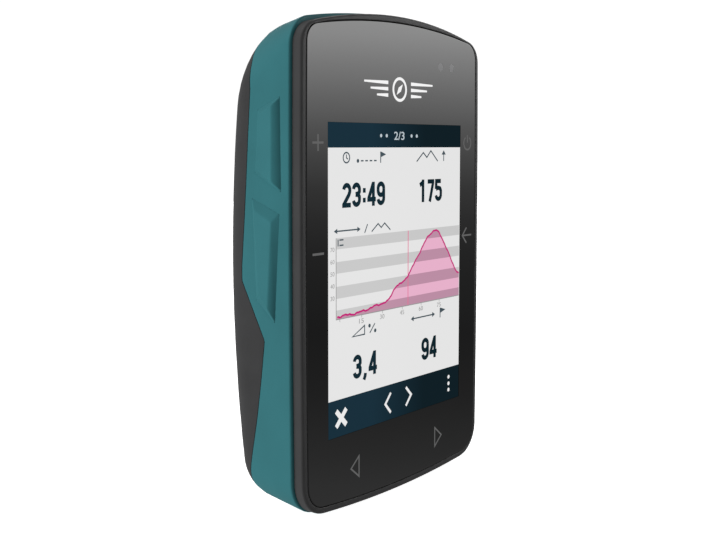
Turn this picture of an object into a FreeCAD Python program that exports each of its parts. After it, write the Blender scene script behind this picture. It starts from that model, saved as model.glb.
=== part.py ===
import FreeCAD, Part
import math
import os

os.makedirs("parts", exist_ok=True)
V = FreeCAD.Vector

# Handheld GPS unit, millimetres.
# Design coordinates: x to the right as seen from the front, d the depth behind the
# front face, z up from the centre of the display. place() moves them to the row frame:
# origin at the bottom centre of the bounding box, +Z up, the display facing -Y.

# ---- driving dimensions -------------------------------------------------------------
SCREEN_W = 48.8            # active area of a 3.2 inch 3:4 display
SCREEN_H = 65.0
PANEL_X = SCREEN_W / 2 + 1.6             # the panel reaches past its active area
PANEL_TOP, PANEL_LOW = SCREEN_H / 2 + 2.0, -SCREEN_H / 2 - 4.0
DEPTH = 22.8               # overall thickness
SEAM = 2.5                 # depth of the joint between bezel and side band
DOME_R = 318.0             # the back is a shallow cylinder about an x axis
DOME_Z = 3.9
BACK_ROUND = 6.3           # rounding between the sides and the back
SIDE_R, TOP_R, BOTTOM_R = 3000.0, 168.0, 290.0   # the four shallow arcs of the outline

# half width, top, bottom, upper corner radius, lower corner radius
FRONT = (33.30, 55.92, -48.92, 6.4, 7.8)         # body outline at the seam
REAR = (32.60, 54.30, -47.01, 16.2, 7.8)         # body outline at REAR_D
REAR_D = 17.0
BEZEL = (32.60, 55.72, -48.72, 5.1, 7.4)         # straight back from the front face
GLASS = (31.05, 54.20, -47.20, 3.9, 5.2)
BEZEL_TOP_R = 122.0        # the bezel is a little more arched than the body
BEZEL_ROUND = 0.6
GLASS_T = 1.1
GLASS_GAP = 0.12
LEDGE_D = 1.25             # the bezel's ledge under the glass
SENSOR_X, LED_X, EYE_Z = 20.4, 15.9, 45.7        # the two small windows above the display

BAND_T = 1.6               # thickness of the coloured side band
WALL = 3.2                 # band and housing wall together
BACK_WALL = 2.2
# where the band ends and the rear housing shows: (depth, height) down the side
SPLIT = [(15.4, 60.0), (15.4, 53.2), (16.5, 51.4), (16.3, 50.2), (15.6, 49.2),
         (14.9, 47.2), (14.1, 44.4), (13.7, 39.0), (14.4, 28.8),
         (14.9, 20.5), (15.5, 12.3), (16.3, 3.0), (16.3, 0.0), (9.8, -11.8),
         (10.9, -20.1), (12.3, -28.5), (14.1, -37.0), (15.0, -42.0), (15.0, -60.0)]

# button outlines on the side, (depth, height)
UPPER_PAD = [(5.15, 37.4), (11.4, 34.9), (12.2, 22.3), (4.8, 18.6)]
LOWER_PAD = [(5.3, 14.2), (13.1, 17.1), (12.0, -3.5), (6.7, -7.8)]
PAD_RISE = 0.85            # the ridge of a side button above the band
PAD_GAP = 0.15             # clearance of a button in its window
PAGE_X = 15.6              # bottom page buttons
PAGE_W, PAGE_D0, PAGE_D1, PAGE_RISE = 9.6, 5.6, 11.0, 0.45
TRAVEL = 0.5
FLANGE = 0.6               # how far a button's flange laps the window
SWITCH_H = 1.2
KEY_BOARD_X = 25.6         # inner face of a side key board
UPPER_STEM = (8.3, 28.3)   # depth and height of the plungers
LOWER_STEM = (9.2, 4.6)
STEM_R = 1.2

SCREW_AT = [(25.6, 42.8), (-25.6, 42.8), (25.3, -40.6), (-25.3, -40.6)]
PCB_SCREW_AT = [(21.4, 36.5), (-21.4, 36.5), (21.4, -34.0), (-21.4, -34.0)]
PCB_D0, PCB_D1 = 5.65, 6.65
PLATE_D0, PLATE_D1 = 3.75, 4.75
MOUNT_Z = 4.0
MOUNT_POCKET_R, MOUNT_RING_R = 17.05, 16.95
MOUNT_LIP_R, MOUNT_CHAMBER_R = 10.6, 13.3
MOUNT_SCREW_R = 15.1

USB_D = 8.25
DOOR_X0, DOOR_X1, DOOR_D0, DOOR_D1 = -6.9, 7.6, 5.5, 11.0
DOOR_T = 1.85
HINGE_X, HINGE_INSET = -6.9, 1.0
KNUCKLE_R, HINGE_PIN_R, HINGE_BORE_R = 0.95, 0.40, 0.45
BOTTOM_SLOPE = math.atan((REAR[2] - FRONT[2]) / (REAR_D - SEAM))

VENT_X, VENT_Z = -14.0, 33.0
LANYARD_X, LANYARD_D, LANYARD_Z = 17.0, 16.9, -43.2
BASE_Z = -FRONT[2]         # height of the display centre above the lowest point


# ---- helpers ------------------------------------------------------------------------
def crossing(c1, r1, c2, r2, toward):
    """The crossing of two circles that lies furthest in the given direction."""
    dx, dz = c2[0] - c1[0], c2[1] - c1[1]
    dist = math.hypot(dx, dz)
    along = (r1 * r1 - r2 * r2 + dist * dist) / (2 * dist)
    off = math.sqrt(max(0.0, r1 * r1 - along * along))
    mx, mz = c1[0] + along * dx / dist, c1[1] + along * dz / dist
    both = [(mx - off * dz / dist, mz + off * dx / dist),
            (mx + off * dz / dist, mz - off * dx / dist)]
    return max(both, key=lambda p: p[0] * toward[0] + p[1] * toward[1])


def on_circle(centre, radius, p):
    dist = math.hypot(p[0] - centre[0], p[1] - centre[1])
    return (centre[0] + radius * (p[0] - centre[0]) / dist,
            centre[1] + radius * (p[1] - centre[1]) / dist)


def outline(spec, d, inset=0.0, top_r=TOP_R):
    """Closed wire at depth d: four shallow arcs joined by tangent corner arcs."""
    half, top, bottom, rt, rb = spec
    half, top, bottom, rt, rb = half - inset, top - inset, bottom + inset, rt - inset, rb - inset
    rs, ra, ru = SIDE_R - inset, top_r - inset, BOTTOM_R - inset
    mid_z = (top + bottom) / 2.0
    cs, ct, cb = (half - rs, mid_z), (0.0, top - ra), (0.0, bottom + ru)
    kt = crossing(cs, rs - rt, ct, ra - rt, (1, 1))
    kb = crossing(cs, rs - rb, cb, ru - rb, (1, -1))
    side_t, top_t = on_circle(cs, rs, kt), on_circle(ct, ra, kt)
    side_b, bot_t = on_circle(cs, rs, kb), on_circle(cb, ru, kb)
    mid_t = on_circle(kt, rt, ((side_t[0] + top_t[0]) / 2, (side_t[1] + top_t[1]) / 2))
    mid_b = on_circle(kb, rb, ((side_b[0] + bot_t[0]) / 2, (side_b[1] + bot_t[1]) / 2))

    def at(p, sign=1):
        return V(sign * p[0], d, p[1])

    def arc(p, q, r):
        return Part.Arc(p, q, r).toShape()

    return Part.Wire([
        arc(at(top_t, -1), V(0, d, top), at(top_t)),
        arc(at(top_t), at(mid_t), at(side_t)),
        arc(at(side_t), V(half, d, mid_z), at(side_b)),
        arc(at(side_b), at(mid_b), at(bot_t)),
        arc(at(bot_t), V(0, d, bottom), at(bot_t, -1)),
        arc(at(bot_t, -1), at(mid_b, -1), at(side_b, -1)),
        arc(at(side_b, -1), V(-half, d, mid_z), at(side_t, -1)),
        arc(at(side_t, -1), at(mid_t, -1), at(top_t, -1))])


def slab(spec, d0, d1, inset=0.0, top_r=TOP_R):
    """The outline extruded straight back from d0 to d1."""
    return Part.Face(outline(spec, d0, inset, top_r)).extrude(V(0, d1 - d0, 0))


def section(d, inset):
    t = (d - SEAM) / (REAR_D - SEAM)
    return outline([a + (b - a) * t for a, b in zip(FRONT, REAR)], d, inset)


def taper(inset, d0=SEAM, d1=26.0):
    """The tapering side surface of the body, closed with flat ends."""
    return Part.makeLoft([section(d0, inset), section(d1, inset)], True, True)


def tub(side, back, rounding, d0=SEAM):
    """The body inset by side and back, with its rounded back edge."""
    radius = DOME_R - back
    dome = Part.makeCylinder(radius, 90, V(-45, DEPTH - DOME_R, DOME_Z), V(1, 0, 0))
    solid = taper(side, d0).common(dome)
    back_face = [f for f in solid.Faces
                 if isinstance(f.Surface, Part.Cylinder) and abs(f.Surface.Radius - radius) < 1e-3][0]
    return solid.makeFillet(rounding, back_face.Edges)


def box(x0, x1, d0, d1, z0, z1):
    return Part.makeBox(x1 - x0, d1 - d0, z1 - z0, V(x0, d0, z0))


def rod(r, x, z, d0, d1):
    """Cylinder along the depth."""
    return Part.makeCylinder(r, d1 - d0, V(x, d0, z), V(0, 1, 0))


def rod_x(r, d, z, x0, x1):
    return Part.makeCylinder(r, x1 - x0, V(x0, d, z), V(1, 0, 0))


def rod_z(r, x, d, z0, z1):
    return Part.makeCylinder(r, z1 - z0, V(x, d, z0), V(0, 0, 1))


def prism_x(points, x0, x1):
    """(depth, height) polygon extruded along x."""
    ring = [V(x0, d, z) for d, z in points]
    return Part.Face(Part.makePolygon(ring + ring[:1])).extrude(V(x1 - x0, 0, 0))


def prism_z(points, z0, z1):
    """(x, depth) polygon extruded along z."""
    ring = [V(x, d, z0) for x, d in points]
    return Part.Face(Part.makePolygon(ring + ring[:1])).extrude(V(0, 0, z1 - z0))


def grown(points, by):
    """A convex polygon with every side moved outward."""
    n = len(points)
    cx, cz = sum(p[0] for p in points) / n, sum(p[1] for p in points) / n
    lines = []
    for i in range(n):
        (x0, z0), (x1, z1) = points[i], points[(i + 1) % n]
        length = math.hypot(x1 - x0, z1 - z0)
        nx, nz = (z1 - z0) / length, -(x1 - x0) / length
        if nx * (x0 - cx) + nz * (z0 - cz) < 0:
            nx, nz = -nx, -nz
        lines.append((nx, nz, nx * x0 + nz * z0 + by))
    out = []
    for i in range(n):
        a, b, c = lines[i - 1]
        e, f, g = lines[i]
        det = a * f - b * e
        out.append(((c * f - b * g) / det, (a * g - c * e) / det))
    return out


def mirrored(shape):
    return shape.mirror(V(0, 0, 0), V(1, 0, 0))


def fused(shapes):
    out = shapes[0]
    for s in shapes[1:]:
        out = out.fuse(s)
    return out.removeSplitter()


def cut(shape, tools):
    for tool in tools:
        shape = shape.cut(tool)
    return shape


def hex_socket(x, z, d0, d1, flat_r):
    ring = [V(x + flat_r * math.cos(math.radians(60 * i)), d0, z + flat_r * math.sin(math.radians(60 * i)))
            for i in range(6)]
    return Part.Face(Part.makePolygon(ring + ring[:1])).extrude(V(0, d1 - d0, 0))


def place(shape):
    out = shape.copy()
    out.translate(V(0, -DEPTH / 2.0, BASE_Z))
    return out


def save(name, *shapes):
    """Write one node; several identical pieces stay separate solids."""
    solids = []
    for shape in shapes:
        found = place(shape).Solids
        if not found:
            raise RuntimeError(name + " has no solid")
        solids += found
    out = solids[0] if len(solids) == 1 else Part.makeCompound(solids)
    if not out.isValid():
        raise RuntimeError(name + " is not valid")
    out.exportStep("parts/" + name + ".step")
    print("%-22s solids %d  volume %.1f" % (name, len(solids), out.Volume))


# ---- shared shapes ------------------------------------------------------------------
body_full = tub(0.0, 0.0, BACK_ROUND)
front_zone = prism_x([(0.0, 60.0)] + SPLIT + [(0.0, -60.0)], -50, 50)
band_zone = prism_x([(0.0, 60.0)] + [(d - 0.05, z) for d, z in SPLIT] + [(0.0, -60.0)], -50, 50)


def side_windows(gap, x0, x1):
    """The four side button openings, both sides."""
    out = []
    for pad in (UPPER_PAD, LOWER_PAD):
        right = prism_x(grown(pad, gap), x0, x1)
        out += [right, mirrored(right)]
    return out


def page_box(side, gap, z0, z1):
    x0, x1 = PAGE_X - PAGE_W / 2 - gap, PAGE_X + PAGE_W / 2 + gap
    shape = box(x0, x1, PAGE_D0 - gap, PAGE_D1 + gap, z0, z1)
    return shape if side > 0 else mirrored(shape)


windows = side_windows(PAD_GAP, 28.5, 36.0)
page_windows = [page_box(s, PAD_GAP, -52.0, -43.0) for s in (-1, 1)]

# the hinge line of the port door follows the sloping bottom face
hinge_dir = V(0, math.cos(BOTTOM_SLOPE), math.sin(BOTTOM_SLOPE))
hinge_z = FRONT[2] + (USB_D - SEAM) * math.tan(BOTTOM_SLOPE) + HINGE_X ** 2 / (2 * BOTTOM_R) + HINGE_INSET


def hinge_rod(r, d0, d1):
    length = (d1 - d0) / math.cos(BOTTOM_SLOPE)
    start = V(HINGE_X, d0, hinge_z + (d0 - USB_D) * math.tan(BOTTOM_SLOPE))
    return Part.makeCylinder(r, length, start, hinge_dir)


door_pocket = taper(-3.0).cut(taper(2.2)).common(
    box(HINGE_X - 1.15, DOOR_X1 + 0.3, DOOR_D0 - 0.2, DOOR_D1 + 0.2, -54, -40))
port_slot = fused([box(-2.9, 2.9, USB_D - 1.85, USB_D + 1.85, -50, -43),
                   rod_z(1.85, -2.9, USB_D, -50, -43), rod_z(1.85, 2.9, USB_D, -50, -43)])

# ---- rear housing -------------------------------------------------------------------
shell = body_full.cut(front_zone).fuse(tub(BAND_T + 0.05, BAND_T + 0.05, BACK_ROUND - BAND_T - 0.05))
shell = shell.cut(tub(WALL, BACK_WALL, 3.2, 2.0))
inner_limit = tub(BAND_T + 0.5, 1.0, 4.0)
posts = [rod(2.9, x, z, 8.1, 24).common(inner_limit) for x, z in SCREW_AT]
mount_floor = rod(19.0, 0, MOUNT_Z, 17.6, 24).common(inner_limit)
vent_seat = rod(4.0, VENT_X, VENT_Z, 18.6, 24).common(inner_limit)
lanyard_block = box(10.6, 23.4, 13.4, 24, -48, -38.2).common(inner_limit)
shell = fused([shell] + posts + [mount_floor, vent_seat, lanyard_block])
groove = taper(2.1, SEAM - 0.5).cut(taper(2.8, SEAM - 1.0)).common(box(-40, 40, 0, SEAM + 0.7, -60, 60))
shell = cut(shell, windows + page_windows + [door_pocket, port_slot, groove])
for x, z in SCREW_AT:
    shell = cut(shell, [rod(1.15, x, z, 7, 30), rod(2.1, x, z, 13.0, 30)])
shell = shell.cut(rod(MOUNT_POCKET_R, 0, MOUNT_Z, 19.6, 30))
mount_screws_at = [(MOUNT_SCREW_R * math.cos(math.radians(a)),
                    MOUNT_Z + MOUNT_SCREW_R * math.sin(math.radians(a))) for a in (45, 135, 225, 315)]
for x, z in mount_screws_at:
    shell = shell.cut(rod(0.78, x, z, 17.95, 30))
shell = shell.cut(rod(0.9, VENT_X, VENT_Z, 17, 30))
notch = box(LANYARD_X - 4.0, LANYARD_X + 4.0, 14.6, 30, -52, -41.0)
shell = cut(shell, [notch, rod_x(0.92, LANYARD_D, LANYARD_Z, LANYARD_X - 5.5, LANYARD_X + 5.5)])
save("rear_housing", shell)

# ---- side band ----------------------------------------------------------------------
band = body_full.cut(tub(BAND_T, BAND_T, BACK_ROUND - BAND_T)).common(band_zone)
band = cut(band, windows + page_windows + [door_pocket, hinge_rod(HINGE_PIN_R + 0.02, 4.5, 12.0)])
save("side_band", band)

# ---- bezel --------------------------------------------------------------------------
bezel = slab(BEZEL, 0.0, SEAM - 0.05, 0.0, BEZEL_TOP_R)
front_edges = [e for e in bezel.Edges if all(abs(v.Point.y) < 1e-6 for v in e.Vertexes)]
bezel = bezel.makeFillet(BEZEL_ROUND, front_edges)
bezel = bezel.cut(slab(GLASS, -1.0, LEDGE_D, -GLASS_GAP))
tongue = slab(FRONT, SEAM - 0.05, 4.1, 3.45).cut(slab(FRONT, SEAM - 1.0, 5.0, 4.6))
bosses = [rod(2.5, x, z, 2.0, 8.0).common(taper(WALL + 0.15, 1.9)) for x, z in SCREW_AT]
bezel = fused([bezel, tongue] + bosses)
bezel = cut(bezel, [box(-PANEL_X - 0.4, PANEL_X + 0.4, -1, 5, PANEL_LOW - 0.7, PANEL_TOP + 0.5),
                    box(-8.0, 8.0, -1, 5, -39.3, -37.0),
                    box(-8.1, 8.1, -1, 2.9, 37.4, 52.6)])
bezel = cut(bezel, [rod(0.95, x, EYE_Z, -1, 3.0) for x in (LED_X, SENSOR_X)])
bezel = cut(bezel, [rod(1.6, x, z, 3.8, 9.0) for x, z in SCREW_AT])
save("front_bezel", bezel)

# ---- glass and seals ----------------------------------------------------------------
glass = slab(GLASS, 0.0, GLASS_T)
glass = glass.makeFillet(0.2, [e for e in glass.Edges if all(abs(v.Point.y) < 1e-6 for v in e.Vertexes)])
save("cover_glass", glass)
tape = slab(GLASS, GLASS_T, LEDGE_D, 0.5)
tape = cut(tape, [box(-PANEL_X - 0.5, PANEL_X + 0.5, 0, 3, PANEL_LOW - 0.8, PANEL_TOP + 0.6),
                  box(-8.2, 8.2, 0, 3, 37.3, 52.7)])
save("glass_adhesive", cut(tape, [rod(1.1, x, EYE_Z, 0, 3) for x in (LED_X, SENSOR_X)]))
gasket = taper(2.15, SEAM - 0.05).cut(taper(2.75, SEAM - 1.0)).common(
    box(-40, 40, SEAM - 0.05, SEAM + 0.65, -60, 60))
save("front_gasket", gasket)

# ---- display stack ------------------------------------------------------------------
save("lcd_panel", box(-PANEL_X, PANEL_X, 1.15, 2.45, PANEL_LOW, PANEL_TOP))
save("lcd_backlight", box(-PANEL_X, PANEL_X, 2.45, 3.65, PANEL_LOW + 0.9, PANEL_TOP))
flex_path = [(2.30, PANEL_LOW), (2.30, -38.5), (5.2, -38.5), (5.2, -31.5),
             (5.05, -31.5), (5.05, -38.35), (2.45, -38.35), (2.45, PANEL_LOW)]
save("display_flex", prism_x(flex_path, -7.0, 7.0))
save("display_connector", box(-7.4, 7.4, 5.2, PCB_D0, -33.4, -30.8))
save("light_sensor", rod(0.85, SENSOR_X, EYE_Z, 1.3, 3.4))
save("status_led", rod(0.85, LED_X, EYE_Z, 1.3, 3.4))

# ---- chassis ------------------------------------------------------------------------
plate = box(-27.5, 27.5, PLATE_D0, PLATE_D1, -42.6, 48.2)
plate = cut(plate, [box(-8.1, 8.1, 3, 5, 37.2, 52), box(-8.0, 8.0, 3, 5, -39.4, -37.7)])
plate = plate.common(slab(FRONT, 3.0, 5.0, 4.9))
tabs = []
for side in (-1, 1):
    tab = box(KEY_BOARD_X - 1.0, KEY_BOARD_X, PLATE_D1 - 0.2, 12.0, -1.0, 33.0)
    tabs.append(tab if side > 0 else mirrored(tab))
    foot = box(11.0, 20.2, PLATE_D1 - 0.2, 10.6, -40.8, -39.8)
    tabs.append(foot if side > 0 else mirrored(foot))
standoffs = [rod(2.2, x, z, PLATE_D1 - 0.2, PCB_D0) for x, z in PCB_SCREW_AT]
chassis = fused([plate] + tabs + standoffs)
chassis = cut(chassis, [rod(2.8, x, z, 0, 9) for x, z in SCREW_AT])
chassis = cut(chassis, [rod(0.8, x, z, 3, 9) for x, z in PCB_SCREW_AT])
chassis = cut(chassis, [rod(1.2, x, EYE_Z, 3, 9) for x in (LED_X, SENSOR_X)])
save("mid_chassis", chassis)

# ---- main board and what is on it -----------------------------------------------------
board = fused([box(-24.2, 24.2, PCB_D0, PCB_D1, -39.3, 47.0), box(-9.0, 9.0, PCB_D0, PCB_D1, 46, 51.6),
               box(-9.4, 9.4, PCB_D0, PCB_D1, -41.4, -39.0)])
board = cut(board, [rod(3.2, x, z, 5, 8) for x, z in SCREW_AT])
board = cut(board, [rod(0.9, x, z, 5, 8) for x, z in PCB_SCREW_AT])
save("main_board", board)
save("gnss_antenna", box(-7, 7, 1.6, PCB_D0, 38.1, 52.1).common(slab(FRONT, 0, 6, 4.85)))


def can(x0, x1, z0, z1, height):
    outer = box(x0, x1, PCB_D1, PCB_D1 + height, z0, z1)
    return outer.cut(box(x0 + 0.25, x1 - 0.25, PCB_D1 - 1, PCB_D1 + height - 0.25, z0 + 0.25, z1 - 0.25))


save("processor_shield", can(-20.0, 3.0, 2.0, 27.0, 1.8))
save("radio_shield", can(7.0, 21.0, 6.0, 25.0, 1.6))
save("processor_chip", box(-15.0, -3.0, PCB_D1, PCB_D1 + 1.1, 8.5, 20.5))
save("battery_connector", box(12.0, 18.5, PCB_D1, PCB_D1 + 2.0, -22.0, -16.0))

BUZZER_AT, PRESSURE_AT = (13.0, -33.2), (-13.0, -33.0)
buzzer = rod(5.5, *BUZZER_AT, PCB_D1, PCB_D1 + 2.6)
save("buzzer", buzzer.cut(rod(0.8, *BUZZER_AT, PCB_D1 + 1.6, 12)))
pressure = rod(1.6, *PRESSURE_AT, PCB_D1, PCB_D1 + 1.4)
save("pressure_sensor", pressure.cut(rod(0.3, *PRESSURE_AT, PCB_D1 + 0.8, 10)))
socket = box(-4.5, 4.5, PCB_D1, PCB_D1 + 3.2, -44.7, -37.4)
mouth = box(-4.15, 4.15, PCB_D1 + 0.35, PCB_D1 + 2.85, -45.5, -39.2)
blade = box(-3.2, 3.2, PCB_D1 + 1.25, PCB_D1 + 1.95, -44.2, -39.2)
save("usb_connector", socket.cut(mouth).fuse(blade))
save("battery_pack", box(-21.5, 21.5, 10.6, 16.8, -29.5, 31.5))
save("battery_pad", box(-15, 15, 16.8, 17.55, -10.0, 18.0))

# ---- buttons --------------------------------------------------------------------------
flange_skin = taper(WALL + 0.15).cut(taper(WALL + 0.85))


def side_button(pad, stem):
    """Right-hand button: a ridge pad, a flange behind the wall and a plunger."""
    face = FRONT[0]
    d_front, d_ridge, d_rear = pad[0][0], pad[0][0] + 1.9, max(p[0] for p in pad)
    profile = [(29.3, d_front - 1), (face, d_front - 1), (face, d_front),
               (face + PAD_RISE, d_ridge + 0.2), (face + PAD_RISE - 0.1, d_ridge + 1.6),
               (face + 0.1, d_rear), (face + 0.1, d_rear + 1), (29.3, d_rear + 1)]
    heights = [p[1] for p in pad]
    cap = prism_z(profile, min(heights) - 2, max(heights) + 2).common(prism_x(pad, 29.0, 36.0))
    flange = flange_skin.common(prism_x(grown(pad, FLANGE), 26.0, 36.0))
    tip = KEY_BOARD_X + 0.4 + SWITCH_H + 0.1 + TRAVEL
    plunger = rod_x(STEM_R, stem[0], stem[1], tip, 30.2)
    return fused([cap, flange, plunger])


upper = side_button(UPPER_PAD, UPPER_STEM)
lower = side_button(LOWER_PAD, LOWER_STEM)
save("power_button", upper)
save("back_button", lower)
save("zoom_in_button", mirrored(upper))
save("zoom_out_button", mirrored(lower))

page_mid_d = (PAGE_D0 + PAGE_D1) / 2.0
page_cap = taper(-PAGE_RISE).cut(taper(WALL + 0.5)).common(page_box(1, 0.0, -54, -40))
page_low = [e for e in page_cap.Edges if e.CenterOfMass.z < -47.0 and
            all(v.Point.z < -47.0 for v in e.Vertexes)]
page_cap = page_cap.makeChamfer(0.3, page_low)
page_flange = flange_skin.common(box(PAGE_X - PAGE_W / 2 - FLANGE, PAGE_X + PAGE_W / 2 + FLANGE,
                                     PAGE_D0 - FLANGE, PAGE_D1 + FLANGE, -50, -40))
PAGE_TIP = -40.8 - 0.4 - SWITCH_H - 0.1 - TRAVEL
page_button = fused([page_cap, page_flange, rod_z(STEM_R, PAGE_X, page_mid_d, -45.0, PAGE_TIP)])
save("page_right_button", page_button)
save("page_left_button", mirrored(page_button))

# ---- key boards and switches ------------------------------------------------------------
key_right = box(KEY_BOARD_X, KEY_BOARD_X + 0.4, 5.2, 12.0, -1.0, 33.0)
save("key_board_right", key_right)
save("key_board_left", mirrored(key_right))
page_board = box(11.0, 20.2, 5.2, 10.6, -41.2, -40.8)
save("page_key_boards", page_board, mirrored(page_board))
switches = []
for d, z in (UPPER_STEM, LOWER_STEM):
    base = KEY_BOARD_X + 0.4
    one = box(base, base + SWITCH_H - 0.3, d - 2.0, d + 2.0, z - 2.0, z + 2.0).fuse(
        rod_x(1.0, d, z, base + 0.2, base + SWITCH_H))
    switches += [one, mirrored(one)]
one = box(PAGE_X - 2, PAGE_X + 2, page_mid_d - 2, page_mid_d + 2, -41.2 - SWITCH_H + 0.3, -41.2).fuse(
    rod_z(1.0, PAGE_X, page_mid_d, -41.2 - SWITCH_H, -41.4))
switches += [one, mirrored(one)]
save("key_switches", *switches)

# ---- port door ----------------------------------------------------------------------
door = taper(0.05).cut(taper(DOOR_T + 0.05)).common(box(DOOR_X0, DOOR_X1, DOOR_D0, DOOR_D1, -54, -40))
knuckle = hinge_rod(KNUCKLE_R, DOOR_D0 - 1, DOOR_D1 + 1).common(box(-9, 0, DOOR_D0, DOOR_D1, -54, -40))
door = fused([door, knuckle]).cut(hinge_rod(HINGE_BORE_R, DOOR_D0 - 2, DOOR_D1 + 2))
finger_nick = rod(0.7, DOOR_X1 + 0.1, FRONT[2] + 0.55, DOOR_D0 - 1, DOOR_D1 + 1)
save("usb_door", door.cut(finger_nick))
save("usb_hinge_pin", hinge_rod(HINGE_PIN_R, 4.55, 11.95))
plug = fused([box(-2.65, 2.25, USB_D - 1.45, USB_D + 1.45, -50, -43),
              rod_z(1.45, -2.65, USB_D, -50, -43), rod_z(1.45, 2.25, USB_D, -50, -43)])
save("usb_door_seal", plug.common(taper(DOOR_T + 0.05)).cut(taper(3.15)))

# ---- fasteners ------------------------------------------------------------------------
save("housing_screws", *[rod(1.9, x, z, 13.0, 14.4).fuse(rod(0.95, x, z, 4.6, 13.2)).cut(
    hex_socket(x, z, 13.6, 15, 1.05)) for x, z in SCREW_AT])
save("bezel_inserts", *[rod(1.6, x, z, 4.0, 8.0).cut(rod(0.97, x, z, 3, 9)) for x, z in SCREW_AT])
save("board_screws", *[rod(1.5, x, z, PCB_D1, PCB_D1 + 0.9).fuse(rod(0.78, x, z, 4.0, PCB_D1 + 0.2)).cut(
    hex_socket(x, z, PCB_D1 + 0.4, 9, 0.75)) for x, z in PCB_SCREW_AT])

# ---- quarter-turn mount ring --------------------------------------------------------------
ring = rod(MOUNT_RING_R, 0, MOUNT_Z, 19.65, 22.3)
ring = cut(ring, [rod(MOUNT_LIP_R, 0, MOUNT_Z, 19, 23), rod(MOUNT_CHAMBER_R, 0, MOUNT_Z, 19, 20.9)])
entry = rod(MOUNT_CHAMBER_R - 0.2, 0, MOUNT_Z, 19, 23)
for sign in (-1, 1):
    tip = V(sign * 20 * math.cos(math.radians(20)), 19, MOUNT_Z + 20 * math.sin(math.radians(20)))
    low = V(tip.x, 19, 2 * MOUNT_Z - tip.z)
    wedge = Part.Face(Part.makePolygon([V(0, 19, MOUNT_Z), tip, low, V(0, 19, MOUNT_Z)])).extrude(V(0, 4, 0))
    ring = ring.cut(wedge.common(entry))
ring = cut(ring, [rod(0.85, x, z, 19, 23) for x, z in mount_screws_at])
ring = cut(ring, [rod(1.5, x, z, 21.3, 23) for x, z in mount_screws_at])
save("mount_ring", ring)
save("mount_screws", *[rod(1.4, x, z, 21.35, 22.15).fuse(rod(0.75, x, z, 18.0, 21.5)).cut(
    hex_socket(x, z, 21.7, 23, 0.7)) for x, z in mount_screws_at])

# ---- small rear pieces --------------------------------------------------------------------
save("lanyard_pin", rod_x(0.9, LANYARD_D, LANYARD_Z, LANYARD_X - 5.4, LANYARD_X + 5.4))
save("vent_membrane", rod(3.4, VENT_X, VENT_Z, 18.25, 18.6))
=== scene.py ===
"""Looks of a handheld GPS unit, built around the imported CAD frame.

Shapes are made in millimetres with X to the right, D back from the glass and
Z up from the middle of the display, and are moved to the row frame at the end.
"""
import math

import bmesh
import bpy
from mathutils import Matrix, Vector


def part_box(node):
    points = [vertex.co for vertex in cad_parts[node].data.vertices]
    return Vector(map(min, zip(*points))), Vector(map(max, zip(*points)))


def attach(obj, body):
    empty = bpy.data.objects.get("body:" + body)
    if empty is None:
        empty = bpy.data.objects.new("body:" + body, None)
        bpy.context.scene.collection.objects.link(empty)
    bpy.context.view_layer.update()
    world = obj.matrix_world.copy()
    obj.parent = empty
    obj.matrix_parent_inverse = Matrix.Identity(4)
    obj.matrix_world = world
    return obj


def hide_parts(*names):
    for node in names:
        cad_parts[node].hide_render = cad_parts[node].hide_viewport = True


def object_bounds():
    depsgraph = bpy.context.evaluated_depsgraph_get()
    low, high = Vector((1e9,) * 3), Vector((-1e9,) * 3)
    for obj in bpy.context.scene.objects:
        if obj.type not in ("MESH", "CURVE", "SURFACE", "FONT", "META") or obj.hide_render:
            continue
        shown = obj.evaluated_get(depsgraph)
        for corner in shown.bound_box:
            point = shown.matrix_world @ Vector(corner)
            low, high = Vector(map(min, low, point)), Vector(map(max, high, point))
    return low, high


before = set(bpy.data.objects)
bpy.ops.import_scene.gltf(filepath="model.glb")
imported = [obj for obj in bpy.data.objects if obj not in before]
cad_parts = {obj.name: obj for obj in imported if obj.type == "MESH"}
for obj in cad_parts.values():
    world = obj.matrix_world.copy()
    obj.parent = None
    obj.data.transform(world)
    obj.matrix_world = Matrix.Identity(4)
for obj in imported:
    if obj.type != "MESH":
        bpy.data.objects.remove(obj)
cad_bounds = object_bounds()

# ---- sizes in millimetres, the same as the CAD ----
DEPTH = 22.8
SEAM = 2.5                        # depth of the joint between bezel and side band
DOME_R, DOME_Z = 318.0, 3.9       # the slightly domed back
BACK_ROUND = 6.3
SIDE_R, TOP_R, BOTTOM_R = 3000.0, 168.0, 290.0
FRONT = (33.30, 55.92, -48.92, 6.4, 7.8)    # half width, top, bottom, upper and lower corner
REAR = (32.60, 54.30, -47.01, 16.2, 7.8)
REAR_D = 17.0
BEZEL = (32.60, 55.72, -48.72, 5.1, 7.4)
BEZEL_TOP_R = 122.0               # the bezel is a little more arched than the body
GLASS = (31.05, 54.20, -47.20, 3.9, 5.2)
GLASS_T, GLASS_GAP = 1.1, 0.12
BAND_T, WALL, BACK_WALL = 1.6, 3.2, 2.2
# rear edge of the side band as (depth, height), from the top down
SPLIT = ((15.4, 60.0), (15.4, 53.2), (16.5, 51.4), (16.3, 50.2), (15.6, 49.2), (14.9, 47.2),
         (14.1, 44.4), (13.7, 39.0), (14.4, 28.8), (14.9, 20.5), (15.5, 12.3), (16.3, 3.0),
         (16.3, 0.0), (9.8, -11.8), (10.9, -20.1), (12.3, -28.5), (14.1, -37.0), (15.0, -42.0),
         (15.0, -60.0))
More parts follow.
